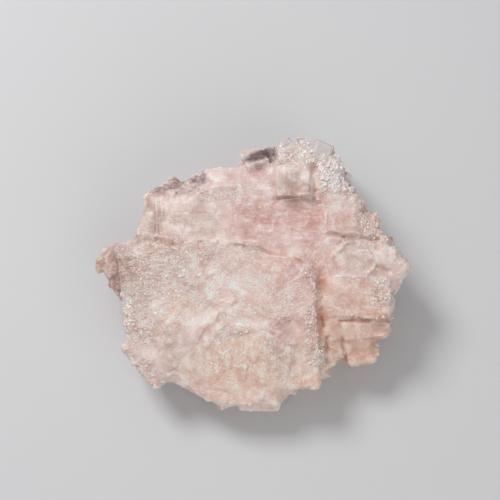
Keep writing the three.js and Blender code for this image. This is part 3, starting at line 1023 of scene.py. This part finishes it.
MIX_INPUTS = (0, 6, 7)  # the factor and the two colours, among a Mix node's sockets of every type
MIX_RESULT = 2
HALITE_IOR = 1.544
SCATTER_RADIUS = (1.0, 0.62, 0.52)  # red light runs furthest in the salt
SCATTER_DEPTH = 0.6 * MM
PALING = 0.85  # how far paler salt goes towards a colour screened with itself
DEEPENING = 0.68  # how far deeper salt goes towards a colour multiplied by itself
ZONE_FADE = (1.45, 0.55)  # where a zone has faded out and where it is whole, as shares of its half size
ZONE_DRIFT = 7  # millimetres over which the zones' edges wander
GRAIN_LAYERS = (1.0, 1.9)  # how fine each layer of the sugary grain is
BODY_GRAIN = 0.62  # size of the grain in millimetres
SUGAR_GRAIN = 0.5
CLEAR_GRAIN = 0.9
CLEAR_CLOUD = (0.96, 0.9, 0.89, 1)
CLEAR_DEPTHS = (0.86, 0.76, 0.76, 1)  # colour that light takes on inside a clear crystal
CLEAR_DENSITY = 9
LINE_PLACES = (0.11, 1.1, 0.2)  # how often the fine lines change, along them, across them and inwards
SPECK_PLACES = (1.6, 2.5, 1.8)  # and the specks

# Veils inside the salt, paler and deeper: where the cloud starts to show, where it is whole, weight.
PALE_VEIL = (0.51, 0.66, 0.7)
DEEP_VEIL = (0.49, 0.34, 0.65)

# Masks of the fine lines and specks: the pattern, where the mask starts and where it is whole.
MASKS = {
    "Bright": ("lines", 0.49, 0.62),
    "Dark": ("lines", 0.48, 0.3),
    "Specks": ("specks", 0.51, 0.58),
    "Pits": ("specks", 0.48, 0.38),
}

# What a reading of the surface does to its tint: where it starts to show, where it is whole, weight.
# Deepening the hollows is painted shade.
READINGS = (
    # painted shade: concave places made deeper in colour
    ("hollow_shade", 0.05, 0.6, 0.85, "deep"),
    # partly whiter worn edges, partly a painted rim highlight
    ("edge", 0.05, 0.7, 0.85, "pale"),
    ("tone", 0.1, 1.0, 0.5, "pale"),
    ("tone", -0.1, -1.0, 0.45, "deep"),
)

# What the masks do to it: where they lie, and weight.
MARKINGS = (
    ("Bright", "streaked", 0.9, "pale"),
    ("Dark", "streaked", 0.6, "deep"),
    ("Pits", "grainy", 0.95, "deep"),
    ("Specks", "grainy", 1.0, "pale"),
)
PAINTED_GLINT_SHARE = 0.5  # how much the sparkling grains whiten the body, as painted glints
FROST_SHINE = 0.22  # and how much smoother they are


def add_node(tree, kind, **settings):
    node = tree.nodes.new(kind)
    for name, value in settings.items():
        setattr(node, name, value)
    return node


def fill(tree, sockets, values):
    """Sets or links each socket, and leaves those whose value is None."""
    for socket, value in zip(sockets, values):
        if isinstance(value, bpy.types.NodeSocket):
            tree.links.new(value, socket)
        elif value is not None:
            socket.default_value = value


def feed(tree, node, **inputs):
    """Sets or links a node's inputs, named with underscores for spaces."""
    fill(tree, [node.inputs[name.replace("_", " ")] for name in inputs], inputs.values())
    return node


def calculate(tree, operation, first, second):
    node = add_node(tree, "ShaderNodeMath", operation=operation)
    fill(tree, node.inputs, (first, second))
    return node.outputs[0]


def multiply(tree, first, *others):
    for other in others:
        first = calculate(tree, "MULTIPLY", first, other)
    return first


def calculate_vector(tree, operation, *values, result=0):
    node = add_node(tree, "ShaderNodeVectorMath", operation=operation)
    fill(tree, node.inputs, values)
    return node.outputs[result]


def blend_colour(tree, share, base, top, mode="MIX"):
    node = add_node(tree, "ShaderNodeMix", data_type="RGBA", blend_type=mode, clamp_factor=True)
    fill(tree, [node.inputs[index] for index in MIX_INPUTS], (share, base, top))
    return node.outputs[MIX_RESULT]


def paler(tree, colour):
    return blend_colour(tree, PALING, colour, colour, "SCREEN")


def deeper(tree, colour):
    return blend_colour(tree, DEEPENING, colour, colour, "MULTIPLY")


def stretch(tree, value, low, high, to_low=0.0, to_high=1.0):
    node = add_node(tree, "ShaderNodeMapRange", interpolation_type="SMOOTHSTEP")
    feed(tree, node, Value=value, From_Min=low, From_Max=high, To_Min=to_low, To_Max=to_high)
    return node.outputs[0]


def noise(tree, place, scale, detail, **settings):
    node = add_node(tree, "ShaderNodeTexNoise")
    return feed(tree, node, Vector=place, Scale=scale, Detail=detail, **settings).outputs


def scaled_place(tree, place, scale):
    mapping = add_node(tree, "ShaderNodeMapping")
    return feed(tree, mapping, Vector=place, Scale=scale).outputs[0]


def bump(tree, strength, distance, height):
    """A normal from a height. distance: in millimetres."""
    node = add_node(tree, "ShaderNodeBump")
    return feed(tree, node, Strength=strength, Distance=distance * MM, Height=height).outputs[0]


def new_group(name, inputs, outputs):
    """An empty shader group. inputs and outputs: name to socket type, or to (type, default)."""
    group = bpy.data.node_groups.new(name, "ShaderNodeTree")
    for direction, sockets in (("INPUT", inputs), ("OUTPUT", outputs)):
        for label, kind in sockets.items():
            kind, *default = kind if isinstance(kind, tuple) else (kind,)
            socket = group.interface.new_socket(label, in_out=direction, socket_type="NodeSocket" + kind)
            if default:
                socket.default_value = default[0]
    start = add_node(group, "NodeGroupInput")
    end = add_node(group, "NodeGroupOutput")
    return group, start.outputs, end


def use_group(tree, group, **inputs):
    node = add_node(tree, "ShaderNodeGroup", node_tree=group)
    return feed(tree, node, **inputs).outputs


def shared_group(name, make, *values):
    return bpy.data.node_groups.get(name) or make(*values)


def rgba(colour):
    return (*colour, 1.0)


def growth_vector(tree):
    """The place on the surface in the growth frame, in millimetres."""
    place = add_node(tree, "ShaderNodeTexCoord").outputs["Object"]
    mapping = add_node(tree, "ShaderNodeMapping", vector_type="TEXTURE")
    feed(
        tree, mapping, Vector=place, Location=GROWTH.translation, Rotation=GROWTH.to_euler(),
        Scale=(MM, MM, MM),
    )
    return mapping.outputs["Vector"]


def zone_group():
    """Blends one tint in around a place of the growth face."""
    inputs = {
        "Colour": "Color", "Tint": "Color", "Place": "Vector", "Middle": "Vector", "Half": "Vector",
        "Strength": "Float",
    }
    group, given, end = new_group("Growth zone", inputs, {"Colour": "Color"})
    offset = calculate_vector(group, "SUBTRACT", given["Place"], given["Middle"])
    scaled = calculate_vector(group, "DIVIDE", offset, given["Half"])
    reach = calculate_vector(group, "LENGTH", scaled, result="Value")
    share = multiply(group, stretch(group, reach, *ZONE_FADE), given["Strength"])
    feed(group, end, Colour=blend_colour(group, share, given["Colour"], given["Tint"]))
    return group


def tint_group(colours):
    """The salt's own tint: the zones of the growth face, with soft cloudy veils inside the salt."""
    group, given, end = new_group("Salt tint", {"Place": "Vector"}, {"Colour": "Color", "Veil": "Float"})
    drift = noise(group, given["Place"], 0.16, 5.0)["Color"]
    moved = calculate_vector(group, "MULTIPLY_ADD", drift, (ZONE_DRIFT,) * 3, given["Place"])
    centred = calculate_vector(group, "SUBTRACT", moved, (ZONE_DRIFT / 2,) * 3)
    zone = zone_group()
    colour = rgba(colours.pink)
    for spot in ZONES:
        colour = use_group(
            group, zone, Colour=colour, Tint=rgba(getattr(colours, spot.colour)), Place=centred,
            Middle=(*spot.at, 0), Half=(*spot.half, spot.depth), Strength=spot.strength,
        )["Colour"]
    cloud = noise(group, given["Place"], 0.33, 4.0, Roughness=0.6, Distortion=0.6)[0]
    pale, deep = paler(group, colour), deeper(group, colour)
    for (low, high, weight), shown in ((PALE_VEIL, pale), (DEEP_VEIL, deep)):
        colour = blend_colour(group, stretch(group, cloud, low, high, 0.0, weight), colour, shown)
    feed(group, end, Colour=colour, Veil=stretch(group, cloud, 0.36, 0.66))
    return group


def grain_group():
    """Sugary grain: the height of tiny cube corners, and a mask of random ones that the materials whiten
    as painted glints.
    """
    inputs = {"Place": "Vector", "Size": ("Float", 0.6)}
    group, given, end = new_group("Sugary grain", inputs, {"Height": "Float", "Sparkle": "Float"})
    scale = calculate(group, "DIVIDE", 1.0, given["Size"])
    heights = []
    for share in GRAIN_LAYERS:
        cells = add_node(group, "ShaderNodeTexVoronoi", distance="CHEBYCHEV")
        feed(group, cells, Vector=given["Place"], Scale=multiply(group, scale, share))
        split = add_node(group, "ShaderNodeSeparateColor")
        fill(group, split.inputs, [cells.outputs["Color"]])
        level = calculate(group, "SUBTRACT", split.outputs[0], cells.outputs["Distance"])
        heights.append(calculate(group, "DIVIDE", level, share))
    sparkle = stretch(group, split.outputs[1], 0.78, 0.86)
    feed(group, end, Height=calculate(group, "ADD", *heights), Sparkle=sparkle)
    return group


def fibre_group():
    """Fine straight lines and specks that run along a facet's own turn: height, and masks of each."""
    inputs = {"Place": "Vector", "Turn": "Float"}
    outputs = dict.fromkeys(("Height", *MASKS), "Float")
    group, given, end = new_group("Growth fibres", inputs, outputs)
    rotate = add_node(group, "ShaderNodeVectorRotate", rotation_type="Z_AXIS")
    turned = feed(group, rotate, Vector=given["Place"], Angle=given["Turn"]).outputs[0]
    patterns = {
        "lines": noise(group, scaled_place(group, turned, LINE_PLACES), 1.0, 3.0, Roughness=0.72)[0],
        "specks": noise(group, scaled_place(group, turned, SPECK_PLACES), 1.0, 1.5, Roughness=0.6)[0],
    }
    feed(group, end, Height=patterns["lines"])
    for name, (pattern, low, high) in MASKS.items():
        feed(group, end, **{name: stretch(group, patterns[pattern], low, high)})
    return group


def attribute_value(tree, name):
    return add_node(tree, "ShaderNodeAttribute", attribute_name=name).outputs["Fac"]


def new_material(name):
    material = bpy.data.materials.new(name)
    material.use_nodes = True
    material.node_tree.nodes.clear()
    return material, material.node_tree


def show_surface(tree, shader):
    output = add_node(tree, "ShaderNodeOutputMaterial")
    return feed(tree, output, Surface=shader.outputs[0])


def new_salt(name, colours, grain_size):
    """A new material with the tint and grain that all the salt shares."""
    material, tree = new_material(name)
    place = growth_vector(tree)
    tints = use_group(tree, shared_group("Salt tint", tint_group, colours), Place=place)
    grain = use_group(tree, shared_group("Sugary grain", grain_group), Place=place, Size=grain_size)
    return material, tree, place, tints, grain


def salt_shader(tree, colour, rough, normal, transmission=0.0, subsurface=0.0):
    """Links the salt to the material's surface, and gives back the material's output."""
    shader = add_node(tree, "ShaderNodeBsdfPrincipled")
    feed(
        tree, shader, Base_Color=colour, Roughness=rough, Normal=normal, IOR=HALITE_IOR,
        Transmission_Weight=transmission, Subsurface_Weight=subsurface,
        Subsurface_Radius=SCATTER_RADIUS, Subsurface_Scale=SCATTER_DEPTH,
    )
    return show_surface(tree, shader)


def body_material(colours):
    material, tree, place, tints, grain = new_salt("cloudy pink salt", colours, BODY_GRAIN)
    fibres = shared_group("Growth fibres", fibre_group)
    lines = use_group(tree, fibres, Place=place, Turn=attribute_value(tree, "turn"))
    sugar = attribute_value(tree, "sugar")
    colour, veil = tints["Colour"], tints["Veil"]
    tinted = {"pale": paler(tree, colour), "deep": deeper(tree, colour)}
    for name, low, high, weight, shown in READINGS:
        share = stretch(tree, attribute_value(tree, name), low, high, 0.0, weight)
        colour = blend_colour(tree, share, colour, tinted[shown])
    streaked = multiply(tree, attribute_value(tree, "fibre"), stretch(tree, veil, 0.2, 0.8, 0.25, 1.0))
    grainy = multiply(
        tree, stretch(tree, sugar, 0.0, 0.6, 0.2, 1.0), stretch(tree, veil, 0.1, 0.7, 0.4, 1.0),
    )
    lying = {"streaked": streaked, "grainy": grainy}
    for mask, where, weight, shown in MARKINGS:
        share = multiply(tree, lines[mask], lying[where], weight)
        colour = blend_colour(tree, share, colour, tinted[shown])
    # painted glints: random sparkling grains whitened in colour, and made smoother
    painted_glint_and_gloss = multiply(tree, grainy, grain["Sparkle"])
    colour = blend_colour(tree, multiply(tree, painted_glint_and_gloss, PAINTED_GLINT_SHARE), colour, paler(tree, tinted["pale"]))
    rough = stretch(tree, sugar, 0.0, 0.8, 0.36, 0.5)
    rough = calculate(tree, "SUBTRACT", rough, multiply(tree, painted_glint_and_gloss, FROST_SHINE))
    height = multiply(tree, grain["Height"], stretch(tree, sugar, 0.0, 0.8, 0.12, 0.8))
    height = calculate(tree, "ADD", height, lines["Height"])
    salt_shader(tree, colour, rough, bump(tree, 1.0, 0.4, height), transmission=0.1, subsurface=0.3)
    return material


def sugar_material(colours):
    material, tree, _, tints, grain = new_salt("sugary salt crystals", colours, SUGAR_GRAIN)
    colour = blend_colour(tree, 0.4, tints["Colour"], paler(tree, tints["Colour"]))
    # painted glints: random sparkling crystals paled in colour
    colour = blend_colour(tree, multiply(tree, grain["Sparkle"], 0.3), colour, paler(tree, colour))
    rough = stretch(tree, tints["Veil"], 0, 1, 0.14, 0.3)
    salt_shader(tree, colour, rough, bump(tree, 0.3, 0.04, grain["Height"]))
    return material


def clear_material(colours):
    material, tree, _, tints, grain = new_salt("clear salt crystals", colours, CLEAR_GRAIN)
    cloud = multiply(tree, tints["Veil"], 0.4)
    colour = blend_colour(tree, cloud, rgba(colours.clear), CLEAR_CLOUD)
    rough = stretch(tree, tints["Veil"], 0, 1, 0.12, 0.3)
    output = salt_shader(tree, colour, rough, bump(tree, 0.25, 0.1, grain["Height"]), transmission=0.5)
    absorption = add_node(tree, "ShaderNodeVolumeAbsorption")
    feed(tree, absorption, Color=CLEAR_DEPTHS, Density=CLEAR_DENSITY)
    feed(tree, output, Volume=absorption.outputs[0])
    return material


# ---------------------------------------------------------------------------- floor, lights and camera

FLOOR_MOTTLE = (0.5, 0.51, 0.53, 1)
MOTTLING = 0.12  # how much of that colour clouds the floor


def floor_material(colour):
    material, tree = new_material("pale floor")
    place = add_node(tree, "ShaderNodeTexCoord").outputs["Object"]
    mottle = multiply(tree, noise(tree, place, 40.0, 4.0)[0], MOTTLING)
    shade = blend_colour(tree, mottle, rgba(colour), FLOOR_MOTTLE)
    shader = add_node(tree, "ShaderNodeBsdfPrincipled")
    show_surface(tree, feed(tree, shader, Base_Color=shade, Roughness=0.75))
    return material


def aim(thing, place, target):
    """Puts a light or camera at a place, pointing at a target."""
    thing.location = place
    thing.rotation_euler = (target - place).to_track_quat("-Z", "Y").to_euler()


FLOOR_HALF = 2.0
WORLD_COLOUR = (1.0, 0.99, 0.98, 1)
WORLD_STRENGTH = 0.41
LIGHTS = {
    # name: (direction from the cluster, distance, size, watts, colour)
    "key": ((-0.55, 0.5, 0.92), 0.75, 0.3, 3.66, (1.0, 0.985, 0.97)),
    "fill": ((0.45, -0.9, 0.65), 0.9, 0.9, 2.5, (1.0, 0.975, 0.955)),
}

CAMERA_SHIFT = (-1.2, 7.6)  # where the camera looks on the growth face, as [u, v]


class HALITE_OT_stage(bpy.types.Operator):
    """Set the pale floor, the soft lights and the camera"""

    bl_idname = "halite.stage"
    bl_label = "Floor, lights and camera"

    def execute(self, context):
        scene = context.scene
        stage = scene.halite_stage
        bm = bmesh.new()
        bmesh.ops.create_grid(bm, x_segments=1, y_segments=1, size=FLOOR_HALF)
        mesh = bpy.data.meshes.new("floor")
        bm.to_mesh(mesh)
        bm.free()
        floor = add_object("floor", mesh)
        mesh.materials.append(floor_material(stage.floor))
        middle = (Vector(cad_box[0]) + Vector(cad_box[1])) / 2
        for name, (direction, distance, size, watts, colour) in LIGHTS.items():
            lamp = bpy.data.lights.new(name, "AREA")
            lamp.shape = "DISK"
            lamp.size = size
            lamp.energy = watts
            lamp.color = colour
            light = add_object(name, lamp)
            aim(light, middle + Vector(direction).normalized() * distance, middle)
        world = bpy.data.worlds.new("soft studio")
        world.use_nodes = True
        background = world.node_tree.nodes["Background"]
        background.inputs["Color"].default_value = WORLD_COLOUR
        background.inputs["Strength"].default_value = WORLD_STRENGTH
        scene.world = world
        scene.view_settings.view_transform = "Standard"
        camera = add_object("camera", bpy.data.cameras.new("camera"))
        camera.data.lens = stage.lens
        target = GROWTH @ (Vector((*CAMERA_SHIFT, 0)) * MM)
        back = Vector((0, -math.cos(stage.elevation), math.sin(stage.elevation)))
        aim(camera, target + back * stage.distance, target)
        scene.camera = camera
        return {"FINISHED"}


class HALITE_PT_panel(bpy.types.Panel):
    """The steps of the halite specimen, in order"""

    bl_idname = "HALITE_PT_panel"
    bl_label = "Pink halite cluster"
    bl_space_type = "VIEW_3D"
    bl_region_type = "UI"
    bl_category = "Halite"

    def draw(self, context):
        for step, settings in STEPS.items():
            self.layout.operator(step.bl_idname)
            for name in settings:
                group = getattr(context.scene, name)
                for key in group.__annotations__:
                    self.layout.prop(group, key)


STEPS = {
    HALITE_OT_stage: ("halite_stage",),
    HALITE_OT_body: ("halite_surface", "halite_colours"),
    HALITE_OT_sugar: ("halite_crystals",),
    HALITE_OT_clear: (),
}
SETTINGS = {
    "halite_surface": HaliteSurface,
    "halite_crystals": HaliteCrystals,
    "halite_colours": HaliteColours,
    "halite_stage": HaliteStage,
}
CLASSES = (*SETTINGS.values(), *STEPS, HALITE_PT_panel)


def register():
    for item in CLASSES:
        bpy.utils.register_class(item)
    for name, group in SETTINGS.items():
        setattr(bpy.types.Scene, name, bpy.props.PointerProperty(type=group))


def unregister():
    for name in SETTINGS:
        delattr(bpy.types.Scene, name)
    for item in reversed(CLASSES):
        bpy.utils.unregister_class(item)


def main():
    register()
    for step in STEPS:
        group, name = step.bl_idname.split(".")
        getattr(getattr(bpy.ops, group), name)()


if __name__ == "__main__":
    main()
